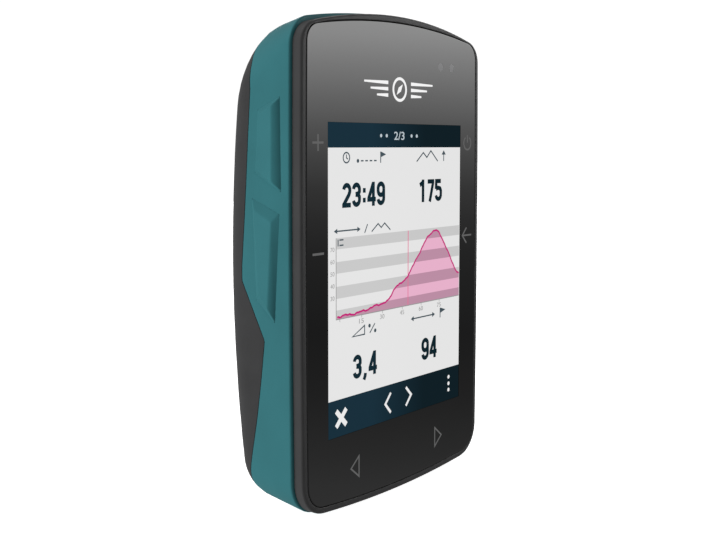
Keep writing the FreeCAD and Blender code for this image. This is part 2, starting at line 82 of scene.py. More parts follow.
# corners of the side keys as (depth, height), and of their raised faces with the rise added
UPPER_PAD = ((5.15, 37.4), (11.4, 34.9), (12.2, 22.3), (4.8, 18.6))
LOWER_PAD = ((5.3, 14.2), (13.1, 17.1), (12.0, -3.5), (6.7, -7.8))
UPPER_ROOF = ((6.9, 35.7, 0.85), (10.7, 34.0, 0.22), (11.6, 22.9, 0.04), (6.9, 20.5, 0.85))
LOWER_ROOF = ((6.95, 12.5, 0.85), (12.2, 14.9, 0.62), (11.4, -2.8, 0.04), (8.2, -5.1, 0.85))
PAD_DEPTH, PAD_RIM, PAD_ROUND, PAD_SLIT = 1.1, 0.03, 0.26, 0.005
PAGE_X, PAGE_W, PAGE_D0, PAGE_D1 = 15.6, 9.6, 5.6, 11.0
MOUNT_Z, MOUNT_POCKET_R, MOUNT_FLOOR_D = 4.0, 17.05, 19.6
SCREWS = ((25.6, 42.8), (-25.6, 42.8), (25.3, -40.6), (-25.3, -40.6))
SCREW_R, SCREW_HEAD_R, SCREW_SEAT_D = 1.15, 2.1, 13.0
VENT = (-14.0, 33.0)
BEHIND = 30.0                     # a depth well behind the body, for holes in the back
USB_D, DOOR_X0, DOOR_X1, DOOR_D0, DOOR_D1 = 8.25, -6.9, 7.6, 5.5, 11.0
DISPLAY_X, DISPLAY_Z = 24.4, 32.5
EYES = (15.9, 20.4)               # the two small windows above the display
EYE_Z = 45.7

front_y = cad_bounds[0].y
base_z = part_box("cover_glass")[1].z - GLASS[1] * 0.001


def to_row(p):
    """A design point in millimetres as a point of the row frame in metres."""
    return Vector((p[0] * 0.001, front_y + p[1] * 0.001, base_z + p[2] * 0.001))


def new_object(name, data):
    """An object in the scene for a mesh, curve, light or camera."""
    thing = bpy.data.objects.new(name, data)
    bpy.context.scene.collection.objects.link(thing)
    return thing


# ---- camera ----
CAMERA_AT = (-186.70, -136.18, 27.72)
CAMERA_DOWN, CAMERA_TURN = 4.341, 51.526    # degrees below the horizon and to the right
camera_data = bpy.data.cameras.new("camera")
camera_data.sensor_width = 36.0
camera_data.lens = 53.2
camera_data.shift_y = -0.058
camera_data.clip_start = 0.01
camera = new_object("camera", camera_data)
camera.location = to_row(CAMERA_AT)
camera.rotation_euler = (math.radians(90.0 - CAMERA_DOWN), 0.0, math.radians(-CAMERA_TURN))
bpy.context.scene.camera = camera


# ---- materials ----
def new_material(name):
    """A material with its nodes, its links and its main shader."""
    material = bpy.data.materials.new(name)
    material.use_nodes = True
    nodes = material.node_tree.nodes
    return material, nodes, material.node_tree.links, nodes["Principled BSDF"]


def noise_texture(nodes, links, scale, detail, stretch):
    """A noise fixed to the piece; scale is in features per millimetre."""
    place = nodes.new("ShaderNodeTexCoord")
    mapping = nodes.new("ShaderNodeMapping")
    mapping.inputs["Scale"].default_value = stretch
    noise = nodes.new("ShaderNodeTexNoise")
    noise.inputs["Scale"].default_value = scale * 1000.0
    noise.inputs["Detail"].default_value = detail
    links.new(place.outputs["Object"], mapping.inputs["Vector"])
    links.new(mapping.outputs["Vector"], noise.inputs["Vector"])
    return noise.outputs["Fac"]


def ramp(nodes, links, source, stops):
    """Turns a grey value into one of several colours; stops are (place, colour)."""
    node = nodes.new("ShaderNodeValToRGB")
    elements = node.color_ramp.elements
    while len(elements) < len(stops):
        elements.new(0.5)
    for element, (place, colour) in zip(elements, stops):
        element.position = place
        element.color = tuple(colour) + (1.0,)
    links.new(source, node.inputs["Fac"])
    return node.outputs["Color"]


def map_range(nodes, links, source, start, end, low=0.0, high=1.0):
    """Maps start to low and end to high, and stays between them."""
    node = nodes.new("ShaderNodeMapRange")
    for socket, value in zip(("From Min", "From Max", "To Min", "To Max"), (start, end, low, high)):
        node.inputs[socket].default_value = value
    links.new(source, node.inputs["Value"])
    return node.outputs["Result"]


def multiplied(nodes, links, first, second):
    """The product of two colours."""
    mix = nodes.new("ShaderNodeMix")
    mix.data_type = "RGBA"
    mix.blend_type = "MULTIPLY"
    mix.inputs["Factor"].default_value = 1.0
    links.new(first, mix.inputs["A"])
    links.new(second, mix.inputs["B"])
    return mix.outputs["Result"]


mats = {}


def surface(name, colour, vary, mottle, rough, rough_vary, grain, grain_height,
            metallic=0.0, specular=0.5, stretch=(1.0, 1.0, 1.0), speck=0.0):
    """A moulded, cast or turned surface: mottled colour, uneven gloss and fine grain.

    vary is the share by which the colour changes. mottle and grain are in features per
    millimetre and grain_height in millimetres. speck adds the sparkle of a filled plastic.
    """
    material, nodes, links, shader = new_material(name)
    broad = noise_texture(nodes, links, mottle, 4.0, stretch)
    fine = noise_texture(nodes, links, grain, 2.0, stretch)
    dark = [c * (1.0 - vary) for c in colour]
    light = [min(1.0, c * (1.0 + vary)) for c in colour]
    tone = ramp(nodes, links, broad, ((0.32, dark), (0.68, light)))
    if speck:
        sparkle = ((0.35, (1.0 - speck,) * 3), (0.65, (1.0 + speck,) * 3))
        tone = multiplied(nodes, links, tone, ramp(nodes, links, fine, sparkle))
    links.new(tone, shader.inputs["Base Color"])
    low, high = max(0.02, rough - rough_vary), rough + rough_vary
    links.new(map_range(nodes, links, fine, 0.3, 0.7, low, high), shader.inputs["Roughness"])
    bump = nodes.new("ShaderNodeBump")
    bump.inputs["Distance"].default_value = grain_height * 0.001
    bump.inputs["Strength"].default_value = 0.6
    links.new(fine, bump.inputs["Height"])
    links.new(bump.outputs["Normal"], shader.inputs["Normal"])
    shader.inputs["Metallic"].default_value = metallic
    shader.inputs["Specular IOR Level"].default_value = specular
    mats[name] = material


GRID_SCALE = 6000.0               # squares per metre of the display's pixel grid


def lit_print(name, left, right=None, grid=0.03):
    """A colour that glows with a fine pixel grid and can fade from left to right: the display's image,
    and painted glow on the marks printed on the glass.
    """
    material, nodes, links, shader = new_material(name)
    place = nodes.new("ShaderNodeTexCoord")
    split = nodes.new("ShaderNodeSeparateXYZ")
    links.new(place.outputs["Object"], split.inputs["Vector"])
    edge = DISPLAY_X * 0.001
    across = map_range(nodes, links, split.outputs["X"], -edge, edge)
    tone = ramp(nodes, links, across, ((0.3, left), (0.7, right or left)))
    pixels = nodes.new("ShaderNodeTexChecker")
    pixels.inputs["Scale"].default_value = GRID_SCALE
    pixels.inputs["Color1"].default_value = (1.0, 1.0, 1.0, 1.0)
    pixels.inputs["Color2"].default_value = (1.0 - grid, 1.0 - grid, 1.0 - grid, 1.0)
    links.new(place.outputs["Object"], pixels.inputs["Vector"])
    shown = multiplied(nodes, links, tone, pixels.outputs["Color"])
    links.new(shown, shader.inputs["Emission Color"])
    shader.inputs["Emission Strength"].default_value = 1.0
    shader.inputs["Base Color"].default_value = (0.005, 0.005, 0.005, 1.0)
    shader.inputs["Roughness"].default_value = 0.4
    shader.inputs["Specular IOR Level"].default_value = 0.0
    mats[name] = material


def srgb(*levels):
    """Linear colour from screen levels of 0 to 255."""
    out = []
    for level in levels:
        v = level / 255.0
        out.append(v / 12.92 if v <= 0.04045 else ((v + 0.055) / 1.055) ** 2.4)
    return tuple(out)


def grey(level):
    return srgb(level, level, level)


TEAL = (0.037, 0.165, 0.184)
surface("teal_rubber", TEAL, 0.05, 0.09, 0.55, 0.05, 5.0, 0.006, specular=0.12)
surface("teal_plastic", TEAL, 0.05, 0.09, 0.50, 0.05, 5.0, 0.006, specular=0.15)
surface("dark_plastic", (0.043, 0.043, 0.044), 0.07, 0.15, 0.52, 0.07, 3.5, 0.012,
        specular=0.18, speck=0.05)
surface("bezel_plastic", (0.057, 0.057, 0.058), 0.05, 0.12, 0.50, 0.05, 4.0, 0.006, specular=0.16)
surface("glass_black", (0.0042, 0.0044, 0.0046), 0.12, 0.05, 0.035, 0.008, 0.4, 0.00002)
surface("matt_black", (0.006, 0.006, 0.006), 0.2, 0.4, 0.9, 0.05, 6.0, 0.004, specular=0.05)
surface("tape", (0.012, 0.012, 0.012), 0.2, 0.4, 0.85, 0.05, 6.0, 0.01)
surface("seal_rubber", (0.018, 0.018, 0.019), 0.15, 0.3, 0.7, 0.08, 4.0, 0.01)
surface("display_glass", (0.35, 0.38, 0.40), 0.05, 0.2, 0.12, 0.03, 0.8, 0.0005)
surface("backlight", (0.80, 0.80, 0.78), 0.05, 0.2, 0.4, 0.05, 2.0, 0.002)
surface("flex_film", (0.45, 0.20, 0.04), 0.12, 0.5, 0.3, 0.06, 2.0, 0.002,
        stretch=(1.0, 1.0, 0.15))
surface("part_plastic", (0.02, 0.02, 0.02), 0.15, 0.5, 0.6, 0.08, 5.0, 0.006)
surface("lens_clear", (0.10, 0.10, 0.11), 0.08, 0.5, 0.08, 0.02, 1.0, 0.0005)
surface("chassis_alloy", (0.50, 0.50, 0.52), 0.08, 0.3, 0.45, 0.08, 2.0, 0.01, metallic=1.0)
surface("circuit_board", (0.012, 0.10, 0.045), 0.25, 0.6, 0.35, 0.08, 1.5, 0.01, speck=0.2)
surface("antenna_ceramic", (0.60, 0.50, 0.38), 0.08, 0.6, 0.5, 0.08, 4.0, 0.006)
surface("shield_steel", (0.60, 0.60, 0.60), 0.05, 0.5, 0.32, 0.08, 2.0, 0.003, metallic=1.0,
        stretch=(1.0, 1.0, 0.1))
surface("battery_foil", (0.55, 0.56, 0.58), 0.08, 0.15, 0.38, 0.1, 0.6, 0.03, metallic=0.8)
surface("foam", (0.03, 0.03, 0.03), 0.2, 0.8, 0.95, 0.03, 3.0, 0.08)
surface("pin_steel", (0.62, 0.62, 0.62), 0.05, 0.5, 0.25, 0.06, 3.0, 0.002, metallic=1.0,
        stretch=(0.1, 1.0, 1.0))
surface("screw_steel", (0.22, 0.22, 0.23), 0.08, 0.6, 0.34, 0.08, 3.0, 0.003, metallic=1.0)
surface("insert_brass", (0.72, 0.52, 0.22), 0.06, 0.6, 0.3, 0.06, 3.0, 0.004, metallic=1.0)
surface("mount_plastic", (0.026, 0.026, 0.028), 0.1, 0.3, 0.5, 0.08, 3.0, 0.012,
        specular=0.4, speck=0.08)
surface("membrane", (0.80, 0.80, 0.80), 0.04, 0.8, 0.8, 0.05, 6.0, 0.01)
surface("floor", (0.90, 0.90, 0.90), 0.01, 0.01, 0.9, 0.02, 0.3, 0.01)
# the floor glows so that it looks as white as the backdrop
floor_shader = mats["floor"].node_tree.nodes["Principled BSDF"]
floor_shader.inputs["Emission Color"].default_value = (1.0, 1.0, 1.0, 1.0)
floor_shader.inputs["Emission Strength"].default_value = 0.95
lit_print("lit_white", grey(231), grey(230))
lit_print("lit_bar", srgb(23, 47, 60), srgb(12, 29, 36))
lit_print("lit_band_grey", grey(203), grey(201))
lit_print("lit_area", srgb(233, 181, 206), srgb(232, 178, 204))
lit_print("lit_area_dark", srgb(192, 146, 168), srgb(188, 142, 165))
lit_print("lit_line", srgb(196, 36, 120))
lit_print("lit_cursor", srgb(228, 110, 150))
lit_print("lit_digit", srgb(18, 42, 52), srgb(12, 34, 42))
lit_print("lit_label", srgb(70, 84, 92), srgb(66, 80, 88))
lit_print("lit_hint", grey(150))
lit_print("lit_glyph", grey(236))
lit_print("lit_bar_glyph", srgb(190, 202, 208), srgb(186, 198, 204))
# the icons printed on the glass glow at a set grey: their brightness is painted light, not print lit by
# the lamps
lit_print("icon_print_painted_glow", grey(100), grid=0.1)
# the emblem printed on the glass glows near white: painted light, not print lit by the lamps
lit_print("emblem_print_painted_glow", grey(246), grid=0.02)


# ---- outlines ----
TOP_N, SIDE_N, CORNER_N = 36, 120, 12


def crossing(c1, r1, c2, r2, toward):
    """The crossing of two circles that lies furthest in the given direction."""
    dx, dz = c2[0] - c1[0], c2[1] - c1[1]
    dist = math.hypot(dx, dz)
    along = (r1 * r1 - r2 * r2 + dist * dist) / (2 * dist)
    off = math.sqrt(max(0.0, r1 * r1 - along * along))
    mx, mz = c1[0] + along * dx / dist, c1[1] + along * dz / dist
    both = ((mx - off * dz / dist, mz + off * dx / dist),
            (mx + off * dz / dist, mz - off * dx / dist))
    return max(both, key=lambda p: p[0] * toward[0] + p[1] * toward[1])


def outline(spec, top_r=TOP_R):
    """Points of an outline with their outward normals, clockwise from the upper left.

    Four shallow arcs are joined by tangent corner arcs. The same index is at the same
    place on every outline, and moving a point along its normal gives the inset outline.
    """
    half, top, bottom, r_top, r_bottom = spec
    mid_z = (top + bottom) / 2.0
    side_c, top_c, bottom_c = (half - SIDE_R, mid_z), (0.0, top - top_r), (0.0, bottom + BOTTOM_R)
    upper_c = crossing(side_c, SIDE_R - r_top, top_c, top_r - r_top, (1, 1))
    lower_c = crossing(side_c, SIDE_R - r_bottom, bottom_c, BOTTOM_R - r_bottom, (1, -1))

    def direction(a, b):
        return math.atan2(b[1] - a[1], b[0] - a[0])

    a_top, a_side = direction(top_c, upper_c), direction(side_c, upper_c)
    a_low, a_bottom = direction(side_c, lower_c), direction(bottom_c, lower_c)
    half_ring = []

    def arc(centre, radius, a0, a1, count):
        for k in range(count):
            a = a0 + (a1 - a0) * k / count
            n = (math.cos(a), math.sin(a))
            half_ring.append((centre[0] + radius * n[0], centre[1] + radius * n[1], n[0], n[1]))

    arc(top_c, top_r, math.pi / 2, a_top, TOP_N // 2)
    arc(upper_c, r_top, a_top, a_side, CORNER_N)
    arc(side_c, SIDE_R, a_side, a_low, SIDE_N)
    arc(lower_c, r_bottom, a_low, a_bottom, CORNER_N)
    arc(bottom_c, BOTTOM_R, a_bottom, -math.pi / 2, TOP_N // 2)
    end = (0.0, bottom, 0.0, -1.0)
    mirror = [(-x, z, -nx, nz) for x, z, nx, nz in half_ring[1:]]
    return half_ring + [end] + mirror[::-1]


front_line, rear_line = outline(FRONT), outline(REAR)
bezel_line, glass_line = outline(BEZEL, BEZEL_TOP_R), outline(GLASS)
every = range(len(front_line))


def flat_ring(line, inset, d):
    return [(x - nx * inset, d, z - nz * inset) for x, z, nx, nz in line]


def taper(d):
    """How far a depth is on the way from the front outline (0) to the rear one (1)."""
    return (d - SEAM) / (REAR_D - SEAM)


def body_point(i, d, inset):
    """Point i of the tapering side of the body at a depth, moved inward by inset."""
    t = taper(d)
    xf, zf, nxf, nzf = front_line[i]
    xr, zr, nxr, nzr = rear_line[i]
    x = (xf - nxf * inset) * (1 - t) + (xr - nxr * inset) * t
    z = (zf - nzf * inset) * (1 - t) + (zr - nzr * inset) * t
    return x, d, z


def dome(z):
    return DEPTH - (z - DOME_Z) ** 2 / (2 * DOME_R)


def skin_point(i, d, extra=0.0):
    """Point i of the outer skin at a depth, with the rounded back edge."""
    inset = 0.0
    for _ in range(4):
        z = body_point(i, d, inset)[2]
        start = dome(z) - BACK_ROUND
        sine = min(1.0, max(0.0, (d - start) / BACK_ROUND))
        inset = BACK_ROUND * (1.0 - math.sqrt(1.0 - sine * sine))
    return body_point(i, d, inset + extra)


def split_depth(z):
    for (d0, z0), (d1, z1) in zip(SPLIT, SPLIT[1:]):
        if z1 <= z <= z0:
            return d0 + (d1 - d0) * (z0 - z) / (z0 - z1)
    return SPLIT[0][0]


def split_at(i):
    d = 13.0
    for _ in range(5):
        d = split_depth(skin_point(i, d)[2])
    return d


split_line = [split_at(i) for i in every]


def rear_point(i, share, margin=0.0):
    """A point of the rear skin, from the joint with the band (0) to the back face (1)."""
    z = skin_point(i, split_line[i])[2]
    inset = 0.0
    d = split_line[i]
    for _ in range(5):
        start = dome(z) - BACK_ROUND
        d0 = split_line[i] + margin
        first = math.asin(min(1.0, max(0.0, (d0 - start) / BACK_ROUND)))
        straight = max(0.0, start - d0)
        way = share * (straight + BACK_ROUND * (math.pi / 2 - first))
        if way < straight:
            d, inset = d0 + way, 0.0
        else:
            turn = first + (way - straight) / BACK_ROUND
            d, inset = start + BACK_ROUND * math.sin(turn), BACK_ROUND * (1 - math.cos(turn))
        z = body_point(i, d, inset)[2]
    return body_point(i, d, inset)


# ---- mesh helpers ----
def loft(rings, cap_start=False, cap_end=False, close=False):
    """A skin over rings of equal length."""
    bm = bmesh.new()
    rows = [[bm.verts.new(p) for p in ring] for ring in rings]
    pairs = list(zip(rows, rows[1:])) + ([(rows[-1], rows[0])] if close else [])
    for a, b in pairs:
        for i in range(len(a)):
            j = (i + 1) % len(a)
            bm.faces.new((a[i], a[j], b[j], b[i]))
    if cap_start:
        bm.faces.new(rows[0][::-1])
    if cap_end:
        bm.faces.new(rows[-1])
    bmesh.ops.recalc_face_normals(bm, faces=bm.faces)
    return bm


def prism(lower, upper):
    """A closed solid between two loops of points."""
    return loft([lower, upper], True, True)


def upright(loop, z0, z1):
    """A solid between two heights over a loop of (x, depth) points."""
    return prism([(x, d, z0) for x, d in loop], [(x, d, z1) for x, d in loop])


def crosswise(loop, x0, x1):
    """A solid between two x values over a loop of (depth, height) points."""
    return prism([(x0, d, z) for d, z in loop], [(x1, d, z) for d, z in loop])


def block(x0, x1, d0, d1, z0, z1):
    return upright(((x0, d0), (x1, d0), (x1, d1), (x0, d1)), z0, z1)


def arc_points(x, z, r, a0, a1, steps):
    """Points on an arc from one angle to another, in degrees."""
    angles = [math.radians(a0 + (a1 - a0) * k / steps) for k in range(steps + 1)]
    return [(x + r * math.cos(a), z + r * math.sin(a)) for a in angles]


def circle(x, z, r, sides):
    return arc_points(x, z, r, 0, 360, sides)[:-1]


def bore(r, x, z, d0, d1, sides=48):
    loop = circle(x, z, r, sides)
    return prism([(px, d0, pz) for px, pz in loop], [(px, d1, pz) for px, pz in loop])


def rounded(bm, edges, radius, segments):
    bmesh.ops.bevel(bm, geom=edges, offset=radius, offset_type="OFFSET", segments=segments,
                    profile=0.5, affect="EDGES", clamp_overlap=True)


def joined(parts):
    mesh = bpy.data.meshes.new("joined")
    out = bmesh.new()
    for part in parts:
        part.to_mesh(mesh)
        out.from_mesh(mesh)
        part.free()
    bpy.data.meshes.remove(mesh)
    return out


def boolean(solid, tools, operation):
    """The solid after cutting away or adding the tools, which don't touch each other."""
    things = []
    for bm in (solid, joined(tools)):
        mesh = bpy.data.meshes.new("work")
        bm.to_mesh(mesh)
        bm.free()
        things.append(new_object("work", mesh))
    modifier = things[0].modifiers.new("boolean", "BOOLEAN")
    modifier.operation = operation
    modifier.solver = "EXACT"
    modifier.object = things[1]
    out = bmesh.new()
    out.from_object(things[0], bpy.context.evaluated_depsgraph_get())
    for thing in things:
        mesh = thing.data
        bpy.data.objects.remove(thing)
        bpy.data.meshes.remove(mesh)
    bmesh.ops.remove_doubles(out, verts=out.verts, dist=1e-4)
    return out


def piece(name, bm, material, body="housing", replaced=(), sharp=32.0, weighted=False):
    """Turns a shape in design millimetres into a finished piece that rides on a body."""
    for vertex in bm.verts:
        vertex.co = to_row(vertex.co)
    for face in bm.faces:
        face.smooth = True
    limit = math.radians(sharp)
    for edge in bm.edges:
        edge.smooth = len(edge.link_faces) == 2 and edge.calc_face_angle(0.0) < limit
    mesh = bpy.data.meshes.new(name)
    bm.to_mesh(mesh)
    bm.free()
    mesh.materials.append(mats[material])
    thing = new_object(name, mesh)
    if weighted:
        modifier = thing.modifiers.new("even_shading", "WEIGHTED_NORMAL")
        modifier.keep_sharp = True
    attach(thing, body)
    if replaced:
        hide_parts(*replaced)


def round_steps(count=4):
    """Sine and cosine pairs over a quarter turn."""
    return [(math.sin(math.pi / 2 * k / count), math.cos(math.pi / 2 * k / count))
            for k in range(count + 1)]


# ---- bezel ----
EDGE, LIP = 0.6, 0.15             # roundings of its outer edge and of its edge at the glass
LEDGE_W, LEDGE_D = 2.6, 1.25      # the ledge under the glass
rings = [flat_ring(bezel_line, 0.12, SEAM - 0.05), flat_ring(bezel_line, 0.0, SEAM - 0.17),
         flat_ring(bezel_line, 0.0, 1.8)]
rings += [flat_ring(bezel_line, EDGE * (1 - c), EDGE * (1 - s)) for s, c in round_steps(7)]
rings += [flat_ring(glass_line, -GLASS_GAP - LIP * (1 - s), LIP * (1 - c)) for s, c in round_steps(3)]
rings += [flat_ring(glass_line, -GLASS_GAP, LEDGE_D), flat_ring(glass_line, LEDGE_W, LEDGE_D),
          flat_ring(glass_line, LEDGE_W, SEAM - 0.05)]
piece("bezel_rim", loft(rings, close=True), "bezel_plastic",
      replaced=("front_bezel",), weighted=True)


# ---- glass ----
def display_ring(d, grow=0.0):
    """The rectangle of the display with the same point count as an outline."""
    x1, z1 = DISPLAY_X + grow, DISPLAY_Z + grow
    flat, side = TOP_N // 2 + CORNER_N // 2, SIDE_N + CORNER_N
    half = [(x1 * k / flat, z1) for k in range(flat)]
    half += [(x1, z1 - 2 * z1 * k / side) for k in range(side)]
    half += [(x1 * (1 - k / flat), -z1) for k in range(flat)]
    mirror = [(-x, z) for x, z in half[1:]]
    return [(x, d, z) for x, z in half + [(0.0, -z1)] + mirror[::-1]]


SINK = 0.09                       # depth of the recess that holds the display image
GLASS_EDGE = 0.22
rings = [flat_ring(glass_line, 0.05, GLASS_T), flat_ring(glass_line, 0.0, GLASS_T - 0.05)]
rings += [flat_ring(glass_line, GLASS_EDGE * (1 - c), GLASS_EDGE * (1 - s)) for s, c in round_steps()]
# two more rings keep the shading of the flat face even
rings += [flat_ring(glass_line, 0.26, 0.0), flat_ring(glass_line, 0.5, 0.0)]
rings += [display_ring(0.0, 0.03), display_ring(SINK, 0.03)]
piece("glass_cover", loft(rings, True, True), "glass_black",
      replaced=("cover_glass",), weighted=True)

# ---- side band ----
BAND_EDGE = 0.5                   # rounding of its front edge
JOINT_GAP, JOINT_ROUND = 0.03, 0.1
SHARES = (0.1, 0.25, 0.4, 0.55, 0.7, 0.85, 1.0)     # places of the rings along a long face
rings = [[skin_point(i, SEAM, BAND_T) for i in every]]
rings += [[skin_point(i, SEAM + BAND_EDGE * (1 - c), BAND_EDGE * (1 - s)) for i in every]
          for s, c in round_steps()]
band_start, band_stop = SEAM + BAND_EDGE, JOINT_GAP + JOINT_ROUND
for share in (0.12,) + SHARES[1:]:
    rings.append([skin_point(i, band_start + (split_line[i] - band_stop - band_start) * share)
                  for i in every])
for inset in (JOINT_ROUND, BAND_T):
    rings.append([skin_point(i, split_line[i] - JOINT_GAP, inset) for i in every])
band = loft(rings, close=True)


def grown(points, by):
    """A convex polygon with every side moved outward."""
    n = len(points)
    cx, cz = sum(p[0] for p in points) / n, sum(p[1] for p in points) / n
    lines = []
    for i in range(n):
        (x0, z0), (x1, z1) = points[i], points[(i + 1) % n]
        length = math.hypot(x1 - x0, z1 - z0)
        nx, nz = (z1 - z0) / length, -(x1 - x0) / length
        if nx * (x0 - cx) + nz * (z0 - cz) < 0:
            nx, nz = -nx, -nz
        lines.append((nx, nz, nx * x0 + nz * z0 + by))
    out = []
    for i in range(n):
        a, b, c = lines[i - 1]
        e, f, g = lines[i]
        det = a * f - b * e
        out.append(((c * f - b * g) / det, (a * g - c * e) / det))
    return out


def bottom_slope(d):
    """Height of the bottom face at a depth."""
    return FRONT[2] + (REAR[2] - FRONT[2]) * taper(d)


def bottom_block(x0, x1, d0, d1, depth):
    """A block that reaches a set depth into the sloping bottom face."""
    loop = ((x0, d0), (x1, d0), (x1, d1), (x0, d1))
    return prism([(x, d, -56.0) for x, d in loop],
                 [(x, d, bottom_slope(d) + depth) for x, d in loop])


def page_span(side, gap):
    """Both ends of a page key along the bottom edge, with a gap round it."""
    return sorted((side * (PAGE_X - PAGE_W / 2 - gap), side * (PAGE_X + PAGE_W / 2 + gap)))


def door_window(depth):
    """The opening for the port door and its hinge pin."""
    return bottom_block(DOOR_X0 - 1.15, DOOR_X1 + 0.3, DOOR_D0 - 0.2, DOOR_D1 + 0.2, depth)


WITHIN, OUTSIDE, THROUGH = 28.0, 37.0, 4.0  # inside and outside of the band; deeper than the band
cutters = []
for side in (-1, 1):
    for pad in (UPPER_PAD, LOWER_PAD):
        cutters.append(crosswise(grown(pad, PAD_SLIT), side * WITHIN, side * OUTSIDE))
    x0, x1 = page_span(side, PAD_SLIT)
    cutters.append(bottom_block(x0, x1, PAGE_D0 - PAD_SLIT, PAGE_D1 + PAD_SLIT, THROUGH))
cutters.append(door_window(THROUGH))
band = boolean(band, cutters, "DIFFERENCE")
piece("band_skin", band, "teal_rubber", replaced=("side_band",), weighted=True)

# ---- rear housing ----
BACKING_R, BACKING_D = 19.0, 17.6           # the thicker wall behind the mount pocket
POST_R, POST_D, POST_COVER = 2.9, 8.1, 0.7  # screw posts, and the skin over their ends
VENT_R, VENT_SEAT_R, VENT_SEAT_D = 0.9, 4.0, 18.6
# the solid round the lanyard notch as (depth, height), and the notch in it
LANYARD = ((13.4, -38.2), (18.3, -38.2), (18.3, -42.1), (16.2, -44.6), (13.4, -45.3))
LANYARD_X0, LANYARD_X1 = 10.6, 23.4
NOTCH_X0, NOTCH_X1, NOTCH_D, NOTCH_Z = 13.0, 21.0, 14.6, -41.0
PORT_X, PORT_R = 2.9, 1.85
PAGE_SLIT = 0.15


def pocket_ring(r, d):
    """A circle round the mount with its points facing those of the back face."""
    out = []
    for i in every:
        x, _, z = back_ring[i]
        a = math.atan2(z - MOUNT_Z, x)
        out.append((r * math.cos(a), d, MOUNT_Z + r * math.sin(a)))
    return out


back_ring = [rear_point(i, 1.0) for i in every]
inner_back = [(x * 0.94, dome(z) - BACK_WALL, DOME_Z + (z - DOME_Z) * 0.96) for x, _, z in back_ring]
rings = [pocket_ring(10.0, BACKING_D), pocket_ring(BACKING_R, BACKING_D),
         [(x, dome(z) - BACK_WALL, z) for x, _, z in pocket_ring(BACKING_R, 0.0)], inner_back]
for d, inset in ((13.0, WALL + 1.0), (10.0, WALL), (SEAM + 0.05, WALL), (SEAM + 0.05, BAND_T + 0.05)):
    rings.append([body_point(i, d, inset) for i in every])
for inset in (BAND_T + 0.05, JOINT_ROUND):
    rings.append([skin_point(i, split_line[i], inset) for i in every])
rings += [[rear_point(i, k / 10, 0.08) for i in every] for k in range(11)]
rim = pocket_ring(MOUNT_POCKET_R + 0.3, 0.0)
for share in SHARES:
    ring = []
    for a, b in zip(back_ring, rim):
        x, z = a[0] + (b[0] - a[0]) * share, a[2] + (b[2] - a[2]) * share
        ring.append((x, dome(z), z))
    rings.append(ring)
rings.append([(x, dome(z) - 0.3, z) for x, _, z in pocket_ring(MOUNT_POCKET_R, 0.0)])
rings.append(pocket_ring(MOUNT_POCKET_R, MOUNT_FLOOR_D))
rear = loft(rings, True, True)


def back_depth(x, z):
    """Depth of the rear skin behind a point of the front view."""
    inset = min((px - x) * nx + (pz - z) * nz for px, pz, nx, nz in rear_line)
    across = 1.0 - min(1.0, max(0.0, inset / BACK_ROUND))
    return dome(z) - BACK_ROUND * (1.0 - math.sqrt(1.0 - across * across))


def screw_post(x, z):
    """A post whose end stays just under the rounded skin."""
    loop = circle(x, z, POST_R, 48)
    return prism([(px, POST_D, pz) for px, pz in loop],
                 [(px, back_depth(px, pz) - POST_COVER, pz) for px, pz in loop])


posts = [screw_post(x, z) for x, z in SCREWS]
posts.append(bore(VENT_SEAT_R, *VENT, VENT_SEAT_D, 20.5))
rear = boolean(rear, posts, "UNION")
rear = boolean(rear, [crosswise(LANYARD, LANYARD_X0, LANYARD_X1)], "UNION")
cutters = [bore(SCREW_HEAD_R, x, z, SCREW_SEAT_D, BEHIND) for x, z in SCREWS]
cutters += [bore(SCREW_R, x, z, 7.0, SCREW_SEAT_D - 0.1, 24) for x, z in SCREWS]
cutters.append(bore(VENT_R, *VENT, 17.0, BEHIND, 32))
cutters.append(block(NOTCH_X0, NOTCH_X1, NOTCH_D, BEHIND, -54.0, NOTCH_Z))
cutters.append(door_window(2.2))
rear = boolean(rear, cutters, "DIFFERENCE")
port_loop = arc_points(PORT_X, USB_D, PORT_R, -90, 90, 15)
port_loop += arc_points(-PORT_X, USB_D, PORT_R, 90, 270, 15)
cutters = [upright(port_loop, -55.0, -42.0)]
for side in (-1, 1):
    x0, x1 = page_span(side, PAGE_SLIT)
    cutters.append(block(x0, x1, PAGE_D0 - PAGE_SLIT, PAGE_D1 + PAGE_SLIT, -52.0, -42.0))
rear = boolean(rear, cutters, "DIFFERENCE")
piece("rear_tub", rear, "dark_plastic", replaced=("rear_housing",), weighted=True)


# ---- side pads ----
def half_width(d, z):
    """Half width of the body at a depth and height."""
    half = FRONT[0] + (REAR[0] - FRONT[0]) * taper(d)
    mid = (FRONT[1] + FRONT[2]) / 2.0
    return half - (z - mid) ** 2 / (2 * SIDE_R)


def roof_pad(name, base, roof, side, body):
    """A key cap whose raised face slopes down to its rim."""
    def at_rim(vertex):
        return abs(abs(vertex.co.x) - half_width(vertex.co.y, vertex.co.z) - PAD_RIM) < 1e-3

    rows = [[(side * (half_width(d, z) + rise), d, z) for d, z in base]
            for rise in (-PAD_DEPTH, PAD_RIM)]
    rows.append([(side * (half_width(d, z) + rise), d, z) for d, z, rise in roof])
    bm = loft(rows, True, True)
    top = list(bm.verts)[-len(roof):]
    rounded(bm, [e for e in bm.edges if any(v in top for v in e.verts)], PAD_ROUND, 4)
    rim_edges = [e for e in bm.edges if len(e.link_faces) == 2 and all(map(at_rim, e.verts))]
    rounded(bm, rim_edges, PAD_RIM, 2)
    piece(name, bm, "teal_rubber", body, (body,), sharp=50.0, weighted=True)


roof_pad("zoom_in_pad", UPPER_PAD, UPPER_ROOF, -1, "zoom_in_button")
roof_pad("zoom_out_pad", LOWER_PAD, LOWER_ROOF, -1, "zoom_out_button")
roof_pad("power_pad", UPPER_PAD, UPPER_ROOF, 1, "power_button")
roof_pad("back_pad", LOWER_PAD, LOWER_ROOF, 1, "back_button")


